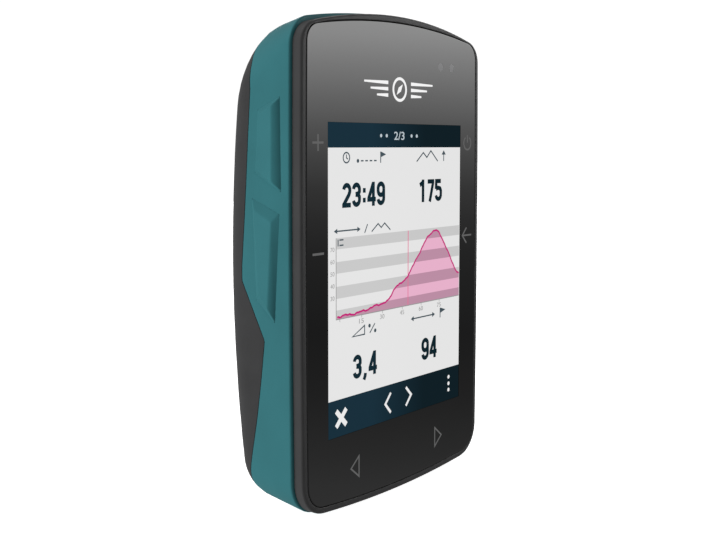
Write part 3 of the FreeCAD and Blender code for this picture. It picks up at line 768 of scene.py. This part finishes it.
# ---- page pads on the bottom edge ----
def page_pad(name, side, body):
    """A low key cap with a crowned face."""
    x0, x1 = side * PAGE_X - PAGE_W / 2, side * PAGE_X + PAGE_W / 2
    rows = []
    for height, shrink in ((PAD_DEPTH, 0.0), (0.1, 0.0), (-0.22, 0.12), (-0.38, 0.45), (-0.43, 1.3)):
        left, right, front, back = x0 + shrink, x1 - shrink, PAGE_D0 + shrink, PAGE_D1 - shrink
        rows.append([(x, d, bottom_slope(d) + x * x / (2 * BOTTOM_R) + height)
                     for x, d in ((left, front), (right, front), (right, back), (left, back))])
    bm = loft(rows, True, True)
    corners = []
    for edge in bm.edges:
        way = edge.verts[0].co - edge.verts[1].co
        if abs(way.z) > 0.02 and abs(way.x) < 0.9 and abs(way.y) < 0.9:
            corners.append(edge)
    rounded(bm, corners, 0.25, 3)
    piece(name, bm, "teal_rubber", body, (body,), sharp=40.0, weighted=True)


page_pad("page_left_pad", -1, "page_left_button")
page_pad("page_right_pad", 1, "page_right_button")


# ---- flat printed shapes ----
class Print:
    """A set of flat shapes at one depth, given in display millimetres."""

    MITRE_LIMIT = 0.35            # keeps sharp corners of a line from growing long

    def __init__(self):
        self.bm = bmesh.new()

    def poly(self, points):
        verts = [self.bm.verts.new((x, 0.0, z)) for x, z in points]
        self.bm.faces.new(verts)
        return self

    def rect(self, x0, x1, z0, z1):
        return self.poly(((x0, z0), (x1, z0), (x1, z1), (x0, z1)))

    def stroke(self, points, width, closed=False):
        """A line of even width with mitred corners."""
        n = len(points)
        left, right = [], []
        for i in range(n):
            before = points[i - 1] if (i or closed) else None
            after = points[(i + 1) % n] if (i < n - 1 or closed) else None
            ways = []
            for a, b in ((before, points[i]), (points[i], after)):
                if a is None or b is None:
                    continue
                length = math.hypot(b[0] - a[0], b[1] - a[1])
                ways.append((-(b[1] - a[1]) / length, (b[0] - a[0]) / length))
            nx, nz = sum(w[0] for w in ways), sum(w[1] for w in ways)
            size = math.hypot(nx, nz)
            nx, nz = nx / size, nz / size
            reach = width / 2 / max(self.MITRE_LIMIT, nx * ways[0][0] + nz * ways[0][1])
            x, z = points[i]
            left.append(self.bm.verts.new((x + nx * reach, 0.0, z + nz * reach)))
            right.append(self.bm.verts.new((x - nx * reach, 0.0, z - nz * reach)))
        for i in range(n if closed else n - 1):
            j = (i + 1) % n
            self.bm.faces.new((left[i], right[i], right[j], left[j]))
        return self

    def arc(self, x, z, r, a0, a1, width, steps=40):
        if abs(a1 - a0) == 360:
            return self.stroke(circle(x, z, r, steps), width, True)
        return self.stroke(arc_points(x, z, r, a0, a1, steps), width)

    def dot(self, x, z, r):
        return self.poly(circle(x, z, r, 28))

    def number(self, text, x0, x1, z0, z1, weight=0.0):
        """Figures stretched to fill a box."""
        curve = bpy.data.curves.new("figures", "FONT")
        curve.body = text
        curve.offset = weight
        curve.resolution_u = 6
        thing = new_object("figures", curve)
        graph = bpy.context.evaluated_depsgraph_get()
        mesh = bpy.data.meshes.new_from_object(thing.evaluated_get(graph))
        xs = [v.co.x for v in mesh.vertices]
        ys = [v.co.y for v in mesh.vertices]
        for v in mesh.vertices:
            x = x0 + (v.co.x - min(xs)) / (max(xs) - min(xs)) * (x1 - x0)
            z = z0 + (v.co.y - min(ys)) / (max(ys) - min(ys)) * (z1 - z0)
            v.co = (x, 0.0, z)
        self.bm.from_mesh(mesh)
        bpy.data.objects.remove(thing)
        bpy.data.curves.remove(curve)
        bpy.data.meshes.remove(mesh)
        return self

    def lay(self, name, material, depth, thick=0.008, slot="display_glass"):
        """Gives the shapes their thickness and makes them a piece of the housing body."""
        bm = self.bm
        bmesh.ops.dissolve_degenerate(bm, edges=bm.edges, dist=1e-5)
        for v in bm.verts:
            v.co.y = depth
        faces = list(bm.faces)
        made = bmesh.ops.extrude_face_region(bm, geom=faces, use_keep_orig=True)
        for item in made["geom"]:
            if isinstance(item, bmesh.types.BMVert):
                item.co.y = depth + thick
        bmesh.ops.recalc_face_normals(bm, faces=bm.faces)
        piece(name, bm, material)


def sheet_layer(name, material, layer, shapes):
    """Lays shapes in the recess of the display; layer 0 is the lowest."""
    shapes.lay(name, "lit_" + material, SINK - 0.010 * (layer + 1))


# a matt frame hides the polished wall of the recess
frame_x, frame_z, frame_w = DISPLAY_X + 0.028, DISPLAY_Z + 0.028, 0.026
inner_x, inner_z = frame_x - frame_w, frame_z - frame_w
shapes = Print().rect(-frame_x, frame_x, inner_z, frame_z).rect(-frame_x, frame_x, -frame_z, -inner_z)
shapes.rect(-frame_x, -inner_x, -inner_z, inner_z).rect(inner_x, frame_x, -inner_z, inner_z)
shapes.lay("display_frame", "matt_black", 0.001, SINK - 0.002)

TITLE_Z, NAV_Z = 27.36, -24.7
sheet_layer("screen_page", "white", 0, Print().rect(-DISPLAY_X, DISPLAY_X, NAV_Z, TITLE_Z))
shapes = Print().rect(-DISPLAY_X, DISPLAY_X, TITLE_Z, DISPLAY_Z)
shapes.rect(-DISPLAY_X, DISPLAY_X, -DISPLAY_Z, NAV_Z)
sheet_layer("screen_bars", "bar", 0, shapes)

# chart: grey stripes, a filled height profile, its line, a cursor and two axes
CHART_X0, CHART_X1, CHART_Z0, CHART_Z1 = -21.7, 24.2, -7.8, 8.9
stripes = ((6.6, 8.9), (1.6, 4.0), (-3.6, -1.1), (-7.8, -6.0))
shapes = Print()
for z0, z1 in stripes:
    shapes.rect(CHART_X0, CHART_X1, z0, z1)
sheet_layer("chart_stripes", "band_grey", 1, shapes)


def profile_height(x):
    """A hill with a flat start, as a sum of smooth steps and a small ripple."""
    def step(a, b):
        t = min(1.0, max(0.0, (x - a) / (b - a)))
        return t * t * (3 - 2 * t)
    rise = 1.2 * step(-16, -3.5) + 3.2 * step(-4.6, -0.6) + 11.4 * step(-0.5, 14.6)
    fall = 11.6 * step(13.6, 25.6)
    ripple = 0.15 * math.sin(1.3 * x + 0.6) + 0.08 * math.sin(2.9 * x + 1.0) + 0.06 * math.sin(5.3 * x)
    return -7.35 + rise - fall + ripple


PROFILE_N, LEAST = 110, 1e-3      # pieces of the profile, and the lowest strip that is drawn
starts = [CHART_X0 + 0.2 + (CHART_X1 - CHART_X0 - 0.2) * k / PROFILE_N for k in range(PROFILE_N + 1)]
profile = [(x, profile_height(x)) for x in starts]
light, dark = Print(), Print()
edges_z = sorted(z for stripe in stripes for z in stripe)
for (xa, za), (xb, zb) in zip(profile, profile[1:]):
    for k, (z0, z1) in enumerate(zip(edges_z, edges_z[1:])):
        ta, tb = min(z1, za), min(z1, zb)
        if max(ta, tb) <= z0 + LEAST:
            continue
        ta, tb = max(ta, z0 + 1e-4), max(tb, z0 + 1e-4)
        (dark if k % 2 == 0 else light).poly(((xa, z0), (xb, z0), (xb, tb), (xa, ta)))
sheet_layer("chart_area", "area", 2, light)
sheet_layer("chart_area_bands", "area_dark", 2, dark)
sheet_layer("chart_line", "line", 4, Print().stroke(profile, 0.40))
sheet_layer("chart_cursor", "cursor", 3, Print().rect(3.3, 3.55, CHART_Z0, CHART_Z1))
shapes = Print().rect(CHART_X0 - 0.2, CHART_X0, CHART_Z0, CHART_Z1)
shapes.rect(CHART_X0 - 0.2, CHART_X1, CHART_Z0 - 0.2, CHART_Z0)
TICK_STEP = 7.3
ticks = [CHART_X0 + 1.0 + TICK_STEP * k for k in range(6)]
for x in ticks:
    shapes.rect(x, x + 0.15, CHART_Z0 - 0.7, CHART_Z0 - 0.2)
sheet_layer("chart_axes", "hint", 3, shapes)
shapes = Print()
for k, z in enumerate((6.6, 4.1, 1.6, -0.9, -3.4)):
    shapes.number(str(70 - 10 * k), CHART_X0 - 1.9, CHART_X0 - 0.6, z - 0.45, z + 0.45)
for k, x in enumerate(ticks[1:], 1):
    shapes.number(str(15 * k), x - 0.8, x + 0.8, CHART_Z0 - 1.9, CHART_Z0 - 0.9)
sheet_layer("chart_numbers", "hint", 1, shapes)

# the four readings, in narrow heavy figures built from strokes of one width
W, H, R, HEAVY = 2.0, 4.12, 1.0, 1.0        # width, height, end radius and line width


def bowl(z, a0, a1):
    """Part of a half-round end of a figure, centred at height z."""
    return arc_points(R, z, R, a0, a1, 14)


FIGURES = {
    "1": ([(0.62 * W, -0.5), (0.62 * W, H + 0.5)], [(0.62 * W, H - 0.12), (0.0, H - 0.75)]),
    "2": (bowl(H - R, 172, 0) + [(W, 0.68 * H), (0.86 * W, 0.52 * H), (0.0, 0.12), (0.0, 0.0),
                                 (W + 0.35, 0.0)],),
    "3": (bowl(H - R, 172, 0) + [(W, 0.66 * H), (0.86 * W, 0.56 * H), (0.35 * W, 0.52 * H)],
          [(0.35 * W, 0.52 * H), (0.86 * W, 0.48 * H), (W, 0.38 * H)] + bowl(R, 0, -172)),
    "4": ([(0.78 * W, -0.5), (0.78 * W, H), (0.70 * W, H), (-0.05, 0.28 * H), (-0.05, 0.22 * H),
           (W + 0.42, 0.22 * H)],),
    "5": ([(W, H), (0.12, H), (0.02, 0.56 * H)],
          [(0.02, 0.56 * H), (0.4 * W, 0.63 * H), (0.86 * W, 0.58 * H), (W, 0.46 * H)]
          + bowl(R, 0, -172)),
    "7": ([(-0.15, H), (W, H), (W, H - 0.35), (0.36 * W, -0.5)],),
    "9": (bowl(H - R, 0, 180) + bowl(0.42 * H + R, 180, 360) + [(W, H - R)],
          [(W, H - R)] + bowl(R, 0, -172)),
    ":": ([(R - 0.48, 0.70 * H), (R + 0.48, 0.70 * H)], [(R - 0.48, 0.20 * H), (R + 0.48, 0.20 * H)]),
    ",": ([(R + 0.05, 0.25), (R - 0.05, -0.35), (R - 0.45, -1.15)],),
}


def reading(shapes, text, x, z, pitch):
    """Figures side by side; a colon or comma takes little more than half the pitch."""
    for sign in text:
        narrow = sign in ":,"
        shift = x - (0.18 * pitch if narrow else 0.0)
        for points in FIGURES[sign]:
            shapes.stroke([(shift + px, z + pz) for px, pz in points], HEAVY)
        x += pitch * (0.62 if narrow else 1.0)
    return shapes


shapes = reading(Print(), "23:49", -19.3, 15.5, 3.22)
reading(shapes, "175", 7.9, 15.5, 3.22)
reading(shapes, "3,4", -15.8, -20.85, 3.35)
reading(shapes, "94", 9.3, -20.85, 3.3)
sheet_layer("reading_figures", "digit", 1, shapes)

# small signs in place of captions
shapes = Print().arc(-18.4, 25.3, 1.05, 0, 360, 0.3)  # a clock
shapes.stroke(((-18.4, 25.95), (-18.4, 25.25), (-17.9, 25.0)), 0.26)
shapes.dot(-14.6, 24.6, 0.42)  # a route to a flag
for k in range(4):
    shapes.rect(-13.6 + 1.5 * k, -12.7 + 1.5 * k, 24.45, 24.75)
shapes.rect(-6.9, -6.6, 24.1, 26.5).poly(((-6.6, 25.3), (-4.8, 25.9), (-6.6, 26.5)))
# peaks with an arrow upward
shapes.stroke(((6.6, 24.2), (9.2, 26.2), (10.6, 25.1), (12.2, 26.6), (15.0, 24.2)), 0.3)
shapes.rect(17.3, 17.6, 24.2, 26.0).poly(((16.6, 25.7), (18.3, 25.7), (17.45, 26.7)))
# a distance, a stroke and peaks
shapes.rect(-21.4, -14.8, 10.15, 10.45).poly(((-22.5, 10.3), (-21.4, 9.75), (-21.4, 10.85)))
shapes.poly(((-13.7, 10.3), (-14.8, 10.85), (-14.8, 9.75)))
shapes.stroke(((-12.3, 9.4), (-11.3, 11.2)), 0.28)
shapes.stroke(((-9.9, 9.5), (-7.6, 11.1), (-6.5, 10.2), (-5.3, 11.1), (-3.2, 9.5)), 0.28)
# a slope with a per cent sign
shapes.stroke(((-16.4, -12.2), (-12.3, -12.2), (-12.3, -10.3)), 0.3, True)
shapes.dot(-10.6, -10.6, 0.42).dot(-8.6, -11.9, 0.42).stroke(((-10.5, -12.2), (-8.7, -10.3)), 0.28)
# a distance to a flag
shapes.rect(5.6, 13.2, -11.35, -11.05).poly(((4.6, -11.2), (5.7, -11.8), (5.7, -10.6)))
shapes.poly(((14.2, -11.2), (13.1, -10.6), (13.1, -11.8)))
shapes.rect(16.2, 16.5, -12.3, -10.0).poly(((16.5, -11.2), (18.6, -10.6), (16.5, -10.0)))
sheet_layer("caption_signs", "label", 1, shapes)
shapes = Print().rect(CHART_X0 + 0.4, CHART_X0 + 0.7, 7.2, 8.6)
shapes.rect(CHART_X0 + 1.0, CHART_X0 + 2.3, 7.2, 7.5).rect(CHART_X0 + 1.0, CHART_X0 + 2.3, 8.3, 8.6)
sheet_layer("chart_scale", "label", 2, shapes)

# title bar: page number between page marks; bottom bar: close, previous, next and menu
shapes = Print().number("2/3", -1.9, 1.9, 29.0, 30.8, 0.01)
for x in (-6.6, -4.6, 4.6, 6.6):
    shapes.dot(x, 29.9, 0.38)
sheet_layer("title_signs", "bar_glyph", 1, shapes)
shapes = Print()
for a, b in (((-21.8, -27.0), (-18.5, -30.4)), ((-21.8, -30.4), (-18.5, -27.0))):
    shapes.stroke((a, b), 1.1)
shapes.stroke(((-2.9, -26.6), (-4.9, -28.8), (-2.9, -31.0)), 0.62)
shapes.stroke(((2.8, -26.4), (4.8, -28.4), (2.8, -30.6)), 0.62)
for z in (-27.0, -28.6, -30.1):
    shapes.dot(20.1, z, 0.45)
sheet_layer("bar_signs", "glyph", 1, shapes)

# ---- printed marks on the glass border ----
# the marks on the glass glow at a set brightness instead of being lit by the lamps: painted light
MARK_D, MARK_T = -0.004, 0.02     # the marks start just in front of the glass
shapes = Print().rect(-29.15, -25.75, 28.15, 28.60)  # plus
shapes.rect(-27.67, -27.22, 28.6, 30.05).rect(-27.67, -27.22, 26.7, 28.15)
shapes.rect(-29.2, -25.7, 5.86, 6.34)  # minus
shapes.arc(27.45, 28.37, 1.55, 122, 418, 0.4).rect(27.25, 27.65, 28.5, 30.3)  # power
shapes.rect(25.7, 29.5, 6.1, 6.5)  # back arrow
shapes.stroke(((27.35, 8.15), (25.55, 6.3), (27.35, 4.45)), 0.42)
for side in (-1, 1):  # page arrows
    x = side * PAGE_X
    shapes.stroke(((x + side * 1.4, -40.3), (x - side * 1.3, -38.1), (x - side * 1.3, -42.5)), 0.36, True)
shapes.lay("glass_icons", "icon_print_painted_glow", MARK_D, MARK_T, "glass_black")

# a plain compass sign with three tapered bars on each side
shapes = Print().arc(0.0, 39.95, 2.35, 0, 360, 0.62, 56)
shapes.poly(((-1.15, 38.75), (0.42, 39.53), (-0.42, 40.37)))
shapes.poly(((1.15, 41.15), (-0.42, 40.37), (0.42, 39.53)))
for side in (-1, 1):
    for level, reach in ((41.3, 12.6), (39.95, 10.4), (38.6, 8.2)):
        x0, x1 = side * 4.2, side * reach
        loop = [(x0, level - 0.38), (x1, level - 0.2), (x1, level + 0.2), (x0, level + 0.38)]
        shapes.poly(loop if side > 0 else loop[::-1])
# like the icons, the emblem glows at a set brightness: painted light
shapes.lay("glass_emblem", "emblem_print_painted_glow", MARK_D, MARK_T, "glass_black")
shapes = Print()
for x in EYES:
    shapes.dot(x, EYE_Z, 0.9)
shapes.lay("sensor_windows", "lens_clear", -0.003, MARK_T, "glass_black")

# ---- materials of the CAD nodes that stay ----
node_slots = {
    "tape": ("glass_adhesive",), "seal_rubber": ("front_gasket", "usb_door_seal"),
    "display_glass": ("lcd_panel",), "backlight": ("lcd_backlight",),
    "flex_film": ("display_flex",),
    "part_plastic": ("display_connector", "processor_chip", "battery_connector", "buzzer"),
    "lens_clear": ("light_sensor", "status_led"), "chassis_alloy": ("mid_chassis",),
    "circuit_board": ("main_board", "key_board_right", "key_board_left", "page_key_boards"),
    "antenna_ceramic": ("gnss_antenna",),
    "shield_steel": ("processor_shield", "radio_shield", "pressure_sensor", "usb_connector",
                     "key_switches"),
    "battery_foil": ("battery_pack",), "foam": ("battery_pad",), "teal_plastic": ("usb_door",),
    "pin_steel": ("usb_hinge_pin", "lanyard_pin"),
    "screw_steel": ("housing_screws", "board_screws", "mount_screws"),
    "insert_brass": ("bezel_inserts",), "mount_plastic": ("mount_ring",),
    "membrane": ("vent_membrane",),
}
for slot_name, names in node_slots.items():
    for name in names:
        for material_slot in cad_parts[name].material_slots:
            material_slot.material = mats[slot_name]


# ---- floor, reflection card and lights ----
def stage_plane(name, corners, material):
    mesh = bpy.data.meshes.new(name)
    mesh.from_pydata(corners, [], [(0, 1, 2, 3)])
    mesh.materials.append(material)
    thing = new_object(name, mesh)
    return thing


floor = stage_plane("floor", ((-4, -4, 0), (4, -4, 0), (4, 4, 0), (-4, 4, 0)), mats["floor"])
floor.visible_glossy = False
floor.visible_diffuse = False
floor.visible_shadow = False

# The card is what the glass mirrors: bright above, dark in the middle, a little lighter below.
CARD_FAR, GLASS_FAR = 1.0, 0.231  # from the glass to the card and to the camera, in metres
CARD_WAY = Vector((0.783, -0.622, 0.0))
CARD_SIDE = Vector((0.622, 0.783, 0.0))
CARD_HALF, CARD_EXTRA = 0.55, 0.3
CARD_TOP, CARD_FADE = 5.3, 0.76   # the light given off at the top, and the share left at the right
FADE_START, FADE_END = -0.07, 0.13          # where the fade runs, in metres along the card
CARD_LEVELS = ((-0.36, 0.52), (-0.33, 0.48), (-0.30, 0.38), (-0.24, 0.24), (-0.18, 0.18),
               (-0.125, 0.24), (-0.10, 0.29), (-0.07, 0.42), (-0.04, 0.62), (-0.01, 1.05),
               (0.019, 1.6), (0.048, 2.5), (0.077, 3.6), (0.106, 4.9), (0.16, 6.0))
(low_slope, _), (high_slope, brightest) = CARD_LEVELS[0], CARD_LEVELS[-1]
eye_height = to_row((0, 0, CAMERA_AT[2])).z
low_z = eye_height + low_slope * (CARD_FAR + GLASS_FAR)
high_z = eye_height + high_slope * (CARD_FAR + GLASS_FAR)
material, nodes, links, shader = new_material("reflection_card")
nodes.remove(shader)
emission = nodes.new("ShaderNodeEmission")
place = nodes.new("ShaderNodeTexCoord")
split = nodes.new("ShaderNodeSeparateXYZ")
links.new(place.outputs["Object"], split.inputs["Vector"])
height = map_range(nodes, links, split.outputs["Z"], low_z, high_z)
span = high_slope - low_slope
stops = [((slope - low_slope) / span, (level / brightest,) * 3) for slope, level in CARD_LEVELS]
links.new(ramp(nodes, links, height, stops), emission.inputs["Color"])
along = nodes.new("ShaderNodeVectorMath")
along.operation = "DOT_PRODUCT"
along.inputs[1].default_value = CARD_SIDE
links.new(place.outputs["Object"], along.inputs[0])
fade = map_range(nodes, links, along.outputs["Value"], FADE_START, FADE_END,
                 CARD_TOP, CARD_TOP * CARD_FADE)
links.new(fade, emission.inputs["Strength"])
links.new(emission.outputs["Emission"], nodes["Material Output"].inputs["Surface"])
centre = Vector((0.0, front_y, 0.0)) + CARD_WAY * CARD_FAR
left, right = centre - CARD_SIDE * CARD_HALF, centre + CARD_SIDE * CARD_HALF
card = stage_plane("reflection_card",
                   [(left.x, left.y, low_z - CARD_EXTRA), (right.x, right.y, low_z - CARD_EXTRA),
                    (right.x, right.y, high_z + CARD_EXTRA), (left.x, left.y, high_z + CARD_EXTRA)],
                   material)
card.visible_camera = False
card.visible_diffuse = False
card.visible_shadow = False
card.visible_transmission = False


def area_light(name, place, size, power):
    """A soft light that points at the middle of the body."""
    data = bpy.data.lights.new(name, "AREA")
    data.shape = "RECTANGLE"
    data.size, data.size_y = size
    data.energy = power
    thing = new_object(name, data)
    thing.location = place
    thing.rotation_euler = (BODY_MIDDLE - Vector(place)).to_track_quat("-Z", "Y").to_euler()
    return thing


BODY_MIDDLE = Vector((0.0, 0.0, 0.05))
key = area_light("key_light", (-0.94, 0.74, -0.14), (0.9, 0.42), 13.0)
key.visible_glossy = False
area_light("top_light", (-0.25, 0.30, 1.1), (0.9, 0.7), 3.0)
area_light("right_light", (0.95, 0.55, 0.35), (0.7, 0.7), 6.0)

world = bpy.data.worlds.new("studio")
bpy.context.scene.world = world
world.use_nodes = True
nodes, links = world.node_tree.nodes, world.node_tree.links
nodes.clear()
path = nodes.new("ShaderNodeLightPath")
mix = nodes.new("ShaderNodeMixShader")
output = nodes.new("ShaderNodeOutputWorld")
links.new(path.outputs["Is Camera Ray"], mix.inputs["Fac"])
# the first is the light on the unit, the second the white that is seen behind it
for socket, strength in ((1, 0.34), (2, 1.05)):
    background = nodes.new("ShaderNodeBackground")
    background.inputs["Color"].default_value = (1.0, 1.0, 1.0, 1.0)
    background.inputs["Strength"].default_value = strength
    links.new(background.outputs["Background"], mix.inputs[socket])
links.new(mix.outputs["Shader"], output.inputs["Surface"])
bpy.context.scene.view_settings.view_transform = "Standard"
